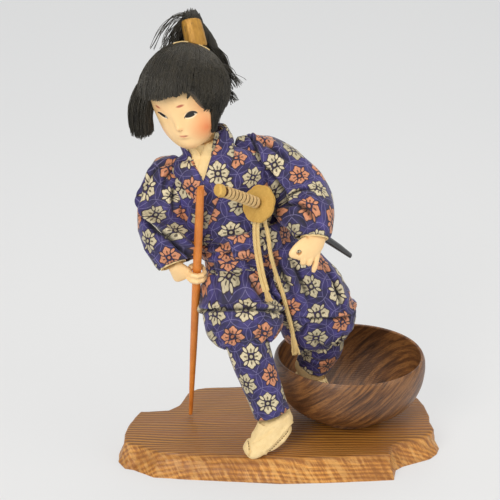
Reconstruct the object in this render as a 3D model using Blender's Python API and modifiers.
"""A costume doll of a youth stepping out of a wooden bowl onto a wooden board.

Cloth-dressed doll on wire limbs: painted head on a neck pin, wadded trunk, brocade
clothes, a draw sword in its sash and a chopstick held upright as a pole.
Metres, +Z up, origin at the middle of the footprint on the underside of the board.
The doll faces -Y, so its own right side is at -X.
"""

import math

import bmesh
import bpy
from mathutils import Matrix, Vector

# Whole object
STANDING_HEIGHT = 0.335
FOOTPRINT_SHIFT = (0.0, 0.0123, 0.0)
FIT_GAP = 0.0003
CUT_OVERRUN = 0.004
END_EXTENSION = 0.0008
WELD_DISTANCE = 0.000001
FLAT_ANGLE = 0.01
SHARP_ANGLE = 0.7

# Board: a slab of softwood with carved ragged ends
BOARD_LENGTH = 0.260
BOARD_DEPTH = 0.136
BOARD_THICKNESS = 0.020
BOARD_FRONT_FLARE = 0.006
BOARD_EDGE_ROUND = 0.0012
BOARD_ROUND_FROM_DEGREES = 50.0
BOARD_END_FLARE_SHARE = 0.7
BOARD_MIDDLE_Y = -0.0058

# Bowl: a turned soup bowl screwed to the board
BOWL_DIAMETER = 0.123
BOWL_HEIGHT = 0.055
BOWL_LIP = 0.0030
BOWL_WALL = 0.0036
BOWL_FLOOR = 0.0042
BOWL_FOOT_DIAMETER = 0.056
BOWL_FOOT_HEIGHT = 0.0045
BOWL_FOOT_WIDTH = 0.004
BOWL_PLACE = (0.057, 0.006)
BOWL_STEPS = 32

# Screw up through the board into the bowl's foot
SCREW_DIAMETER = 0.0035
SCREW_HEAD_DIAMETER = 0.0075
SCREW_HEAD_HEIGHT = 0.0025
SCREW_BITE = 0.0030

# Limb wires
WIRE_DIAMETER = 0.0020
WIRE_BITE = 0.008
WIRE_POINTS = 18

# Trunk and clothes
TRUNK_HEIGHT = 0.088
TRUNK_WIDTH = 0.072
TRUNK_DEPTH = 0.050
CLOTH_THICKNESS = 0.0014
UNDER_ROBE_WALL = 0.0010
UNDER_ROBE_EASE = 0.0006
SASH_RISE = 0.0065
COLLAR_STAND = 0.0090
COLLAR_STAND_WIDTH = 0.0370
COLLAR_STAND_DEPTH = 0.0290
SLEEVE_WIDTH = 0.038
SLEEVE_DEPTH = 0.036
TROUSER_WIDTH = 0.060
TROUSER_DEPTH = 0.052
LEGGING_WIDTH = 0.034
LEGGING_DEPTH = 0.033
FOOT_LENGTH = 0.048
FOOT_WIDTH = 0.021
FOOT_HEIGHT = 0.030
SASH_HEIGHT = 0.021
SASH_THICKNESS = 0.0024
SASH_FLAP_HEIGHT = 0.0250
SASH_FLAP_THICKNESS = 0.0030
COLLAR_WIDTH = 0.0165
COLLAR_THICKNESS = 0.0030
CUFF_WIDTH = 0.0022
CUFF_THICKNESS = 0.0008

# Head and hair
HEAD_WIDTH = 0.0510
HEAD_DEPTH = 0.0490
HEAD_HEIGHT = 0.0600
NECK_DIAMETER = 0.019
NECK_BELOW = 0.004
NECK_LENGTH = 0.036
UNDER_COLLAR_RISE = 0.0050
UNDER_COLLAR_EASE = 0.0040
NECK_PIN_DIAMETER = 0.006
NECK_PIN_LENGTH = 0.030
HAIR_WIDTH = 0.064
HAIR_DEPTH = 0.066
HAIR_HEIGHT = 0.066
HAIR_SHIFT = (-0.0030, -0.0040, 0.0050)
HAIR_TURN_DEGREES = 35.0
HAIR_NOD_DEGREES = 18.0
HAIR_LEAN_DEGREES = -4.0
TOPKNOT_WIDTH = 0.018
TIE_THICKNESS = 0.0009
HEAD_TURN_DEGREES = 35.0
HEAD_NOD_DEGREES = 25.0
HEAD_LEAN_DEGREES = -15.0

# Hands
PALM_WIDTH = 0.017
PALM_THICKNESS = 0.0085
PALM_LENGTH = 0.018
FINGER_DIAMETER = 0.0052
RING_HOLE_DIAMETER = 0.0042

# Pole: a tapered chopstick
POLE_TIP_PLACE = (-0.0730, 0.0014)
POLE_LENGTH = 0.228
POLE_THICK_DIAMETER = 0.0068

# Sword
SWORD_BEND_RADIUS = 0.650
HILT_LENGTH = 0.0485
HILT_WIDTH = 0.0062
HILT_DEPTH = 0.0046
HILT_WRAP_TURNS = 9
HILT_WRAP_STEPS = 10
HILT_WRAP_THICKNESS = 0.0013
HILT_WRAP_GAP = 0.0007
POMMEL_LENGTH = 0.0058
GUARD_HEIGHT = 0.0295
GUARD_WIDTH = 0.0280
GUARD_THICKNESS = 0.0022
SCABBARD_LENGTH = 0.131
SCABBARD_WIDTH = 0.0074
SCABBARD_DEPTH = 0.0056
BLADE_WIDTH = 0.0042
BLADE_THICKNESS = 0.0014
BLADE_LENGTH = 0.112
BLADE_COLLAR_LENGTH = 0.0050

SWORD_DIRECTION_SHARES = (0.562, 0.676, -0.476)
SWORD_BEND_SHARES = (0.10, -0.62, -0.775)
BLADE_COLLAR_WALL = 0.0008
GUARD_POINTS = 48
GUARD_LOBES = 8
GUARD_LOBE_SHARE = 0.05

# Cord on the scabbard
CORD_DIAMETER = 0.0046
THIN_CORD_DIAMETER = 0.0034
KNOT_CORD_DIAMETER = 0.0022
KNOT_STEPS = 20
KNOT_SIDES = 6
TASSEL_WIDTH = 0.0072

# Places on the figure, as shares of its standing height, from the middle of the board's top
POSE_SHARES = {
    "pelvis": (-0.068, -0.042, 0.420),
    "hips": (-0.062, -0.042, 0.396),
    "waist": (-0.086, -0.046, 0.478),
    "chest": (-0.140, -0.058, 0.603),
    "neck": (-0.162, -0.060, 0.704),
    "head": (-0.2085, -0.0836, 0.8328),
    "right_shoulder": (-0.215, -0.060, 0.669),
    "right_upper_arm": (-0.263, -0.060, 0.630),
    "right_elbow": (-0.275, -0.075, 0.546),
    "right_forearm": (-0.263, -0.101, 0.490),
    "right_wrist": (-0.246, -0.122, 0.451),
    "left_shoulder": (-0.106, -0.042, 0.718),
    "left_upper_arm": (-0.002, -0.045, 0.6686),
    "left_elbow": (0.060, -0.069, 0.6047),
    "left_forearm": (0.0746, -0.1165, 0.5652),
    "left_wrist": (0.0728, -0.1434, 0.5245),
    "right_waist": (-0.112, -0.046, 0.484),
    "right_hip": (-0.092, -0.054, 0.400),
    "right_thigh": (-0.094, -0.098, 0.356),
    "right_knee": (-0.077, -0.150, 0.262),
    "right_ankle": (-0.020, -0.177, 0.102),
    "left_waist": (-0.062, -0.042, 0.486),
    "left_hip": (0.014, -0.034, 0.404),
    "left_thigh": (0.066, -0.024, 0.330),
    "left_knee": (0.106, -0.004, 0.214),
    "pole_hand": (-0.1925, -0.1195, 0.4420),
    "guard": (-0.0516, -0.1545, 0.6092),
}


def material(name, color, roughness, metallic=0.0):
    """Return a Principled material with a plain colour."""
    finish = bpy.data.materials.new(name)
    finish.use_nodes = True
    shader = finish.node_tree.nodes["Principled BSDF"]
    shader.inputs["Base Color"].default_value = (*color, 1.0)
    shader.inputs["Roughness"].default_value = roughness
    shader.inputs["Metallic"].default_value = metallic
    finish.diffuse_color = (*color, 1.0)
    return finish


def clear_scene():
    """Remove every object, so the script can be run again in an open file."""
    for item in list(bpy.data.objects):
        bpy.data.objects.remove(item, do_unlink=True)


clear_scene()
DOLL = bpy.data.collections.new("costume_doll")
CUTTERS = bpy.data.collections.new("cutters")
bpy.context.scene.collection.children.link(DOLL)
bpy.context.scene.collection.children.link(CUTTERS)


def add_piece(name, mesh, finish):
    """Link a finished mesh as one of the doll's pieces."""
    piece = bpy.data.objects.new(name, mesh)
    DOLL.objects.link(piece)
    mesh.materials.clear()
    mesh.materials.append(finish)
    mesh.shade_smooth()
    mesh.set_sharp_from_angle(angle=SHARP_ANGLE)
    return piece


def add_cutter(mesh, levels=0):
    """Link a mesh as a hidden cutter."""
    cutter = bpy.data.objects.new("cutter_" + mesh.name, mesh)
    CUTTERS.objects.link(cutter)
    cutter.hide_render = True
    cutter.display_type = "WIRE"
    soften(cutter, levels)
    return cutter


def soften(piece, levels=1):
    """Round a coarse cage with subdivision."""
    if not levels:
        return
    rounding = piece.modifiers.new("soft form", "SUBSURF")
    rounding.levels = levels
    rounding.render_levels = levels


def split_faces(piece):
    """Split every face into triangles, so that a cut meets only flat faces."""
    if not any(modifier.type == "TRIANGULATE" for modifier in piece.modifiers):
        split = piece.modifiers.new("flat faces", "TRIANGULATE")
        split.quad_method = "FIXED"


def combine(piece, other, operation, solver="EXACT"):
    """Cut, join or trim a piece with another object."""
    split_faces(piece)
    split_faces(other)
    boolean = piece.modifiers.new(operation.lower(), "BOOLEAN")
    boolean.operation = operation
    boolean.solver = solver
    boolean.object = other


def settle(piece, merge_flat=False):
    """Turn a piece and its modifiers into one plain mesh."""
    graph = bpy.context.evaluated_depsgraph_get()
    graph.update()
    mesh = bpy.data.meshes.new_from_object(piece.evaluated_get(graph))
    piece.modifiers.clear()
    old = piece.data
    piece.data = mesh
    mesh.name = old.name
    weld(mesh, merge_flat)
    keep_main_body(mesh)
    mesh.shade_smooth()
    mesh.set_sharp_from_angle(angle=SHARP_ANGLE)
    return piece


def island_volume(faces):
    """Six times the signed volume inside a closed set of faces."""
    total = 0.0
    for face in faces:
        first = face.verts[0].co
        for second, third in zip(face.verts[1:-1], face.verts[2:]):
            total += first.dot(second.co.cross(third.co))
    return total


def keep_main_body(mesh):
    """Drop the loose scraps that a cut can leave beside the piece."""
    work = bmesh.new()
    work.from_mesh(mesh)
    unseen = set(work.faces)
    islands = []
    while unseen:
        seed = unseen.pop()
        island = [seed]
        for face in island:
            for edge in face.edges:
                for other in edge.link_faces:
                    if other in unseen:
                        unseen.discard(other)
                        island.append(other)
        islands.append(island)
    if len(islands) > 1:
        islands.sort(key=island_volume)
        loose = [face for island in islands[:-1] for face in island]
        bmesh.ops.delete(work, geom=loose, context="FACES")
        work.to_mesh(mesh)
    work.free()


def weld(mesh, merge_flat=False):
    """Merge the doubled points that a cut can leave, and flat faces if asked."""
    work = bmesh.new()
    work.from_mesh(mesh)
    bmesh.ops.remove_doubles(work, verts=work.verts, dist=WELD_DISTANCE)
    bmesh.ops.dissolve_degenerate(work, edges=work.edges, dist=WELD_DISTANCE)
    if merge_flat:
        bmesh.ops.dissolve_limit(work, angle_limit=FLAT_ANGLE, verts=work.verts, edges=work.edges)
    bmesh.ops.dissolve_verts(work, verts=[vert for vert in work.verts if len(vert.link_edges) == 2])
    work.to_mesh(mesh)
    work.free()


def place(name):
    """Give a place on the figure in metres."""
    share = Vector(POSE_SHARES[name])
    return share * STANDING_HEIGHT + Vector((0.0, 0.0, BOARD_THICKNESS))


def smooth_path(points, count):
    """Read count points from one smooth curve through a few places."""
    ends = [points[0] * 2 - points[1]] + list(points) + [points[-1] * 2 - points[-2]]
    spans = len(points) - 1
    result = []
    for step in range(count):
        reach = spans * step / (count - 1)
        span = min(int(reach), spans - 1)
        part = reach - span
        before, start, stop, after = ends[span:span + 4]
        result.append(0.5 * (2 * start + (stop - before) * part
                             + (2 * before - 5 * start + 4 * stop - after) * part ** 2
                             + (3 * start - 3 * stop + after - before) * part ** 3))
    return result


def point_on(points, share):
    """Give the place at a share of the way along a smooth curve."""
    return smooth_path(points, 1001)[round(share * 1000)]


class Form:
    """A soft form: rings across a smooth path, each with its own width and depth."""

    def __init__(self, points, rings, width, depth, across, count=10, folds=0, levels=1):
        self.count = count
        self.folds = folds
        self.levels = levels
        self.rings = []
        path = smooth_path(points, 1001)
        for ring in rings:
            share, width_share, depth_share = ring[:3]
            ripple = ring[3] if len(ring) > 3 else 0.0
            index = round(share * 1000)
            ahead = path[min(index + 40, 1000)]
            behind = path[max(index - 40, 0)]
            along = (ahead - behind).normalized()
            side = (across - along * across.dot(along)).normalized()
            self.rings.append((path[index], along, side, along.cross(side),
                               width * width_share / 2, depth * depth_share / 2, ripple))

    def outline(self, ring):
        """Points of one ring."""
        middle, along, side, front, half_width, half_depth, ripple = ring
        spread = 1 / math.cos(math.pi / self.count) if self.levels else 1.0
        points = []
        for step in range(self.count):
            turn = 2 * math.pi * step / self.count
            swell = (1 + ripple * math.cos(self.folds * turn)) * spread
            points.append(middle + side * half_width * swell * math.cos(turn)
                          + front * half_depth * swell * math.sin(turn))
        return points

    def mesh(self, name, grow=0.0, extend=0.0, capped=True):
        """A cage through every ring, moved out by grow, with flat ends or open ones."""
        work = bmesh.new()
        loops = [[work.verts.new(point) for point in self.outline(ring)] for ring in self.rings]
        for low, high in zip(loops, loops[1:]):
            for step in range(self.count):
                after = (step + 1) % self.count
                work.faces.new((low[step], low[after], high[after], high[step]))
        work.normal_update()
        moves = [vert.normal * grow * vert.calc_shell_factor() for vert in work.verts]
        for vert, move in zip(work.verts, moves):
            vert.co += move
        for loop, ring, way in ((loops[0], self.rings[0], -1), (loops[-1], self.rings[-1], 1)):
            for vert in loop:
                vert.co += ring[1] * extend * way
        if capped:
            work.faces.new(list(reversed(loops[0])))
            work.faces.new(loops[-1])
        mesh = bpy.data.meshes.new(name)
        work.to_mesh(mesh)
        work.free()
        return mesh

    def solid(self, name, finish, grow=0.0):
        """A filled soft piece."""
        piece = add_piece(name, self.mesh(name, grow), finish)
        soften(piece, self.levels)
        return piece

    def cutter(self, name, grow=FIT_GAP, extend=END_EXTENSION):
        """The same form, moved out by a clearance, with its ends closed after it is rounded."""
        cutter = add_cutter(self.mesh(name, grow, extend, capped=False), self.levels)
        settle(cutter)
        work = bmesh.new()
        work.from_mesh(cutter.data)
        bmesh.ops.holes_fill(work, edges=[edge for edge in work.edges if edge.is_boundary])
        bmesh.ops.recalc_face_normals(work, faces=work.faces)
        work.to_mesh(cutter.data)
        work.free()
        return cutter

    def shell(self, name, finish, wall, grow=0.0):
        """A piece of clothing: an open tube with a wall, thickened inwards."""
        piece = add_piece(name, self.mesh(name, grow, capped=False), finish)
        cloth = piece.modifiers.new("cloth thickness", "SOLIDIFY")
        cloth.thickness = wall
        cloth.offset = -1.0
        cloth.use_even_offset = True
        soften(piece, self.levels)
        return piece

    def surface(self, share, turn_degrees, lift=0.0):
        """A place on the form's outside, at a share of its rings and a turn round it."""
        reach = share * (len(self.rings) - 1)
        index = min(int(reach), len(self.rings) - 2)
        part = reach - index
        turn = math.radians(turn_degrees)
        places = []
        for ring in self.rings[index:index + 2]:
            middle, along, side, front, half_width, half_depth, ripple = ring
            places.append(middle + side * (half_width + lift) * math.cos(turn)
                          + front * (half_depth + lift) * math.sin(turn))
        return places[0].lerp(places[1], part)


def rod_mesh(name, start, end, start_diameter, end_diameter, sides=16):
    """A straight round rod between two places, tapered if its ends differ."""
    work = bmesh.new()
    length = (end - start).length
    bmesh.ops.create_cone(work, cap_ends=True, segments=sides, radius1=start_diameter / 2,
                          radius2=end_diameter / 2, depth=length)
    turn = (end - start).to_track_quat("Z", "Y").to_matrix().to_4x4()
    bmesh.ops.transform(work, matrix=Matrix.Translation((start + end) / 2) @ turn, verts=work.verts)
    mesh = bpy.data.meshes.new(name)
    work.to_mesh(mesh)
    work.free()
    return mesh


def tube_mesh(name, points, diameter, resolution=1, radii=None):
    """A bent wire or cord as a curve object made into a closed mesh."""
    curve = bpy.data.curves.new(name, "CURVE")
    curve.dimensions = "3D"
    curve.bevel_depth = diameter / 2
    curve.bevel_resolution = resolution
    curve.use_fill_caps = True
    spline = curve.splines.new("POLY")
    spline.points.add(len(points) - 1)
    for index, (knot, point) in enumerate(zip(spline.points, points)):
        knot.co = (*point, 1.0)
        knot.radius = radii[index] if radii else 1.0
    holder = bpy.data.objects.new(name, curve)
    bpy.context.scene.collection.objects.link(holder)
    graph = bpy.context.evaluated_depsgraph_get()
    graph.update()
    mesh = bpy.data.meshes.new_from_object(holder.evaluated_get(graph))
    mesh.name = name
    bpy.data.objects.remove(holder, do_unlink=True)
    weld(mesh)
    return mesh


def box_mesh(name, low, high, turn=None):
    """A plain box between two corners, in a turned frame if one is given."""
    work = bmesh.new()
    bmesh.ops.create_cube(work, size=1.0)
    size = Vector(high) - Vector(low)
    middle = (Vector(high) + Vector(low)) / 2
    bmesh.ops.transform(work, matrix=Matrix.Translation(middle) @ Matrix.Diagonal((*size, 1.0)),
                        verts=work.verts)
    if turn:
        bmesh.ops.transform(work, matrix=turn, verts=work.verts)
    mesh = bpy.data.meshes.new(name)
    work.to_mesh(mesh)
    work.free()
    return mesh


# Finishes
WOOD_BOARD = (0.36, 0.17, 0.06)
WOOD_BOWL = (0.15, 0.07, 0.045)
WOOD_POLE = (0.42, 0.17, 0.05)
BRASS_YELLOW = (0.52, 0.36, 0.10)
STEEL_GREY = (0.55, 0.55, 0.56)
SKIN = (0.80, 0.55, 0.32)
HAIR_BLACK = (0.012, 0.011, 0.010)
BROCADE = (0.045, 0.035, 0.17)
CREAM = (0.80, 0.62, 0.36)
CORD_CREAM = (0.68, 0.50, 0.22)
GOLD_PAPER = (0.50, 0.30, 0.05)
LACQUER = (0.02, 0.02, 0.02)
WADDING = (0.75, 0.72, 0.62)


# Board outline, as shares of half its length and half its depth, anticlockwise from the back left.
BOARD_OUTLINE_SHARES = (
    (-0.25, 0.96), (-0.48, 0.93), (-0.54, 0.89), (-0.60, 0.76), (-0.65, 0.43), (-0.71, 0.31),
    (-0.89, 0.27), (-0.92, 0.14), (-0.955, -0.09), (-0.972, -0.31), (-0.968, -0.47),
    (-0.925, -0.61), (-0.872, -0.64), (-0.745, -0.80), (-0.535, -0.85), (-0.26, -0.90),
    (0.0, -0.945), (0.26, -0.92), (0.52, -0.88), (0.67, -0.855), (0.69, -0.645), (0.735, -0.57),
    (0.905, -0.405), (0.955, -0.295), (0.972, -0.185), (0.958, 0.01), (0.965, 0.155),
    (0.945, 0.43), (0.918, 0.61), (0.86, 0.80), (0.70, 0.93), (0.45, 0.985), (0.15, 1.0),
)


def make_board():
    """The slab: its ragged outline, wider at the foot of the front edge."""
    work = bmesh.new()
    top = []
    for x_share, y_share in BOARD_OUTLINE_SHARES:
        x = x_share * BOARD_LENGTH / 2
        y = BOARD_MIDDLE_Y + y_share * BOARD_DEPTH / 2
        top.append(work.verts.new((x, y, BOARD_THICKNESS)))
    face = work.faces.new(top)
    made = bmesh.ops.extrude_face_region(work, geom=[face])
    foot = [item for item in made["geom"] if isinstance(item, bmesh.types.BMVert)]
    for vert in foot:
        across_share = vert.co.x / (BOARD_LENGTH / 2)
        outward = Vector((across_share, (vert.co.y - BOARD_MIDDLE_Y) / (BOARD_DEPTH / 2), 0.0))
        front = max(0.0, -outward.y)
        side = min(1.0, abs(outward.x))
        vert.co.x += math.copysign(BOARD_FRONT_FLARE * BOARD_END_FLARE_SHARE * side, outward.x)
        vert.co.y -= BOARD_FRONT_FLARE * front
        vert.co.z = 0.0
    bmesh.ops.recalc_face_normals(work, faces=work.faces)
    mesh = bpy.data.meshes.new("board")
    work.to_mesh(mesh)
    work.free()
    board = add_piece("board", mesh, material("board wood", WOOD_BOARD, 0.55))
    edge = board.modifiers.new("rounded edge", "BEVEL")
    edge.width = BOARD_EDGE_ROUND
    edge.segments = 1
    edge.limit_method = "ANGLE"
    edge.angle_limit = math.radians(BOARD_ROUND_FROM_DEGREES)
    return board


BOWL_FOOT_DEPTH_SHARE = 0.6
BOWL_UNDER_Z = BOARD_THICKNESS + FIT_GAP + BOWL_FOOT_HEIGHT * BOWL_FOOT_DEPTH_SHARE
BOWL_FLOOR_Z = BOWL_UNDER_Z + BOWL_FLOOR
BOWL_RIM_SHARE = 0.99

# Outside of the bowl: shares of its radius and of its height, below the lip
BOWL_OUTER_SHARES = ((1.0, 0.90), (1.0, 0.76), (0.965, 0.56), (0.875, 0.36), (0.72, 0.20), (0.53, 0.105))
# The rounded lip: shares of its width in from the rim and down from the top
BOWL_LIP_SHARES = ((1.0, 0.25), (0.5, 0.0), (0.08, 0.2))
# Inside of the bowl: shares of its inner radius and of the rise from the floor to the rim
BOWL_INNER_SHARES = ((0.33, 0.0), (0.56, 0.045), (0.74, 0.165), (0.875, 0.33), (0.965, 0.545), (1.0, 0.76),
                     (1.0, 0.92))


def bowl_profile():
    """Half section of the bowl, from the middle of its floor over the lip to its underside."""
    radius = BOWL_DIAMETER / 2
    base = BOARD_THICKNESS + FIT_GAP
    top = base + BOWL_HEIGHT
    outer = [(radius * wide, base + BOWL_HEIGHT * high) for wide, high in BOWL_OUTER_SHARES]
    foot = BOWL_FOOT_DIAMETER / 2
    outer += [(foot, base + BOWL_FOOT_HEIGHT), (foot, base), (foot - BOWL_FOOT_WIDTH, base),
              (foot - BOWL_FOOT_WIDTH, BOWL_UNDER_Z), (0.0, BOWL_UNDER_Z)]
    rise = top - BOWL_FLOOR_Z
    inner = [(0.0, BOWL_FLOOR_Z)]
    inner += [((radius - BOWL_WALL) * wide, BOWL_FLOOR_Z + rise * high) for wide, high in BOWL_INNER_SHARES]
    rim = radius * BOWL_RIM_SHARE
    lip = [(rim - BOWL_LIP * inward, top - BOWL_LIP * down) for inward, down in BOWL_LIP_SHARES]
    return inner + lip + outer


def bowl_room_cutter():
    """The space inside the bowl, with a clearance, left open at the top."""
    rise = BOARD_THICKNESS + BOWL_HEIGHT - BOWL_FLOOR_Z
    inside = [((BOWL_DIAMETER / 2 - BOWL_WALL) * wide - FIT_GAP, BOWL_FLOOR_Z + rise * high + FIT_GAP)
              for wide, high in BOWL_INNER_SHARES]
    inside.append((inside[-1][0], inside[-1][1] + BOWL_HEIGHT))
    work = bmesh.new()
    rings = []
    for radius, z in inside:
        rings.append([work.verts.new((BOWL_PLACE[0] + radius * math.cos(2 * math.pi * step / BOWL_STEPS),
                                      BOWL_PLACE[1] + radius * math.sin(2 * math.pi * step / BOWL_STEPS), z))
                      for step in range(BOWL_STEPS)])
    for lower, upper in zip(rings, rings[1:]):
        for step in range(BOWL_STEPS):
            after = (step + 1) % BOWL_STEPS
            work.faces.new((lower[step], lower[after], upper[after], upper[step]))
    work.faces.new(list(reversed(rings[0])))
    work.faces.new(rings[-1])
    bmesh.ops.recalc_face_normals(work, faces=work.faces)
    mesh = bpy.data.meshes.new("bowl_room")
    work.to_mesh(mesh)
    work.free()
    return add_cutter(mesh)


def make_bowl():
    """The bowl, turned from its profile."""
    work = bmesh.new()
    verts = [work.verts.new((x, 0.0, z)) for x, z in bowl_profile()]
    for first, second in zip(verts, verts[1:]):
        work.edges.new((first, second))
    mesh = bpy.data.meshes.new("bowl")
    work.to_mesh(mesh)
    work.free()
    bowl = add_piece("bowl", mesh, material("bowl wood", WOOD_BOWL, 0.4))
    turning = bowl.modifiers.new("turned on a lathe", "SCREW")
    turning.axis = "Z"
    turning.steps = BOWL_STEPS
    turning.render_steps = BOWL_STEPS
    turning.use_merge_vertices = True
    turning.merge_threshold = WELD_DISTANCE
    settle(bowl)
    bowl.data.transform(Matrix.Translation((*BOWL_PLACE, 0.0)))
    return bowl


LEFT = Vector((1.0, 0.0, 0.0))
UP = Vector((0.0, 0.0, 1.0))
FRONT = Vector((0.0, -1.0, 0.0))
EMPTY_LAYER = CLOTH_THICKNESS + FIT_GAP

# Trunk rings: share of the spine, width and depth shares
TRUNK_RING_SHARES = (
    (0.05, 0.66, 0.70), (0.22, 0.94, 0.98), (0.37, 0.95, 1.00), (0.50, 0.92, 0.98), (0.64, 0.97, 0.98),
    (0.76, 1.06, 1.00), (0.87, 1.10, 0.94), (0.955, 0.96, 0.80), (1.00, 0.56, 0.58),
)
KIMONO_FIRST_RING = 3
SASH_RING_SHARES = ((0.0, 0.96, 1.03), (0.35, 0.98, 1.05), (0.70, 0.99, 1.06), (1.0, 0.99, 1.05))
SASH_LEAN_SHARE = 0.22
UNDER_ROBE_FIRST_RING = 5
SLEEVE_RING_SHARES = {
    "right": ((0.0, 0.26, 0.30), (0.09, 0.66, 0.72), (0.20, 0.90, 0.94, 0.02), (0.38, 1.0, 1.0, 0.03),
              (0.55, 1.05, 1.03, -0.03), (0.72, 1.0, 0.98, 0.04), (0.88, 0.81, 0.81, 0.02), (1.0, 0.65, 0.67)),
    "left": ((0.0, 0.26, 0.30), (0.09, 0.66, 0.72), (0.20, 0.90, 0.92, 0.02), (0.38, 0.98, 0.92, 0.03),
             (0.55, 1.0, 0.90, -0.03), (0.72, 0.98, 0.90, 0.04), (0.88, 0.81, 0.80, 0.02), (1.0, 0.65, 0.67)),
}
TROUSER_RING_SHARES = {
    "right": ((0.00, 0.78, 1.00), (0.20, 0.90, 1.04, 0.02), (0.42, 1.00, 1.04, 0.03), (0.60, 1.06, 1.02, 0.03),
              (0.70, 1.08, 1.00, 0.04), (0.73, 1.00, 0.93, 0.02), (0.79, 1.04, 0.98, 0.03),
              (0.89, 0.98, 0.92, -0.04), (0.965, 0.78, 0.76, 0.06), (1.00, 0.60, 0.62)),
    "left": ((0.00, 0.80, 1.00), (0.20, 0.93, 1.04, 0.02), (0.42, 1.00, 1.04, 0.03), (0.60, 1.06, 1.02, 0.03),
             (0.72, 1.10, 1.02, 0.03), (0.76, 1.04, 0.96, 0.02), (0.82, 1.07, 0.98, 0.03),
             (0.91, 0.98, 0.90, -0.04), (0.97, 0.76, 0.74, 0.06), (1.00, 0.62, 0.64)),
}
LEG_RING_SHARES = (
    (0.06, 0.70, 0.70), (0.22, 0.86, 0.86), (0.42, 0.88, 0.88), (0.60, 0.97, 0.97), (0.72, 0.98, 0.98),
    (0.86, 0.90, 0.92), (1.00, 0.82, 0.84),
)
LEGGING_FIRST_RING = 3


def trunk_path():
    """The spine of the leaning figure, from below the waist to the foot of the neck."""
    return [place("hips"), place("pelvis"), place("waist"), place("chest"), place("neck")]


CLOTH_SIDES = 12
CLOTH_FOLDS = 5
TRUNK = Form(trunk_path(), TRUNK_RING_SHARES, TRUNK_WIDTH, TRUNK_DEPTH, LEFT, CLOTH_SIDES, levels=0)


def part_of(form, first, last=None):
    """The same form with only some of its rings."""
    section = Form.__new__(Form)
    section.count = form.count
    section.folds = form.folds
    section.levels = form.levels
    section.rings = form.rings[first:last]
    return section


NECK_RISE = (place("head") - place("neck")).normalized()


def stand_ring(rise, width, depth):
    """A ring round the neck, above the trunk's last one."""
    middle, along, side, front = TRUNK.rings[-1][:4]
    return (place("neck") + NECK_RISE * rise, along, side, front, width / 2, depth / 2, 0.0)


ROBE_BODY = part_of(TRUNK, 0)
ROBE_BODY.rings.append(stand_ring(COLLAR_STAND, COLLAR_STAND_WIDTH, COLLAR_STAND_DEPTH))
KIMONO = part_of(ROBE_BODY, KIMONO_FIRST_RING)
UNDER_ROBE = part_of(TRUNK, UNDER_ROBE_FIRST_RING)
UNDER_ROBE.rings.append(stand_ring(COLLAR_STAND, COLLAR_STAND_WIDTH, COLLAR_STAND_DEPTH))
UNDER_ROBE.rings.append(stand_ring(COLLAR_STAND + UNDER_COLLAR_RISE, NECK_DIAMETER + 2 * UNDER_COLLAR_EASE,
                                   NECK_DIAMETER + 2 * UNDER_COLLAR_EASE))
SASH_MIDDLE = place("waist") + UP * SASH_RISE
SASH_HALF_SPAN = Vector((-SASH_LEAN_SHARE, 0.0, 1.0)) * SASH_HEIGHT / 2
SASH = Form([SASH_MIDDLE - SASH_HALF_SPAN, SASH_MIDDLE, SASH_MIDDLE + SASH_HALF_SPAN], SASH_RING_SHARES,
            TRUNK_WIDTH, TRUNK_DEPTH, LEFT, CLOTH_SIDES, levels=0)
CORE_INSET = EMPTY_LAYER + UNDER_ROBE_EASE + UNDER_ROBE_WALL + FIT_GAP

ARM_PATHS = {side: [place(side + "_" + name) for name in ("shoulder", "upper_arm", "elbow", "forearm", "wrist")]
             for side in ("right", "left")}
SLEEVES = {side: Form(path, SLEEVE_RING_SHARES[side], SLEEVE_WIDTH, SLEEVE_DEPTH, FRONT, CLOTH_SIDES,
                      CLOTH_FOLDS, 0)
           for side, path in ARM_PATHS.items()}


def arm_form(side):
    """The wadding inside a sleeve, which stops short of the cuff's lining."""
    form = part_of(SLEEVES[side], 1)
    middle, along, *rest = form.rings[-1]
    form.rings[-1] = (middle - along * (CUFF_WIDTH + 2 * END_EXTENSION), along, *rest)
    return form


ARMS = {side: arm_form(side) for side in SLEEVES}


LEFT_FOOT_TURN = 30.0
RIGHT_FOOT_TURN = 156.0
RIGHT_FOOT_PITCH = 36.0
LEFT_FOOT_PITCH = 4.0
LEFT_HEEL_SHARES = (-0.53, 0.06)
ANKLE_HEIGHT_SHARE = 1.06
FOOT_DROP_SHARES = {"right": (0.30, 0.42, 0.44, 0.40), "left": (0.40, 0.68, 0.82, 0.90)}
FOOT_REACH_SHARES = (0.02, 0.22, 0.50, 0.78)


def left_ankle():
    """The ankle over the bowl's floor: it follows the bowl."""
    return Vector((BOWL_PLACE[0] + LEFT_HEEL_SHARES[0] * BOWL_DIAMETER / 2,
                   BOWL_PLACE[1] + LEFT_HEEL_SHARES[1] * BOWL_DIAMETER / 2,
                   BOWL_FLOOR_Z + FOOT_HEIGHT * ANKLE_HEIGHT_SHARE))


LEG_PATHS = {
    "right": [place("right_hip"), place("right_thigh"), place("right_knee"), place("right_ankle")],
    "left": [place("left_hip"), place("left_thigh"), place("left_knee"), left_ankle()],
}
LEGS = {side: Form(path, LEG_RING_SHARES, LEGGING_WIDTH, LEGGING_DEPTH, LEFT, CLOTH_SIDES, levels=0)
        for side, path in LEG_PATHS.items()}
LEGGINGS = {side: part_of(leg, LEGGING_FIRST_RING) for side, leg in LEGS.items()}
TROUSERS = {side: Form([place(side + "_waist")] + LEG_PATHS[side][:3], TROUSER_RING_SHARES[side], TROUSER_WIDTH,
                       TROUSER_DEPTH, LEFT, CLOTH_SIDES, CLOTH_FOLDS, 0)
            for side in ("right", "left")}


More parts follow.
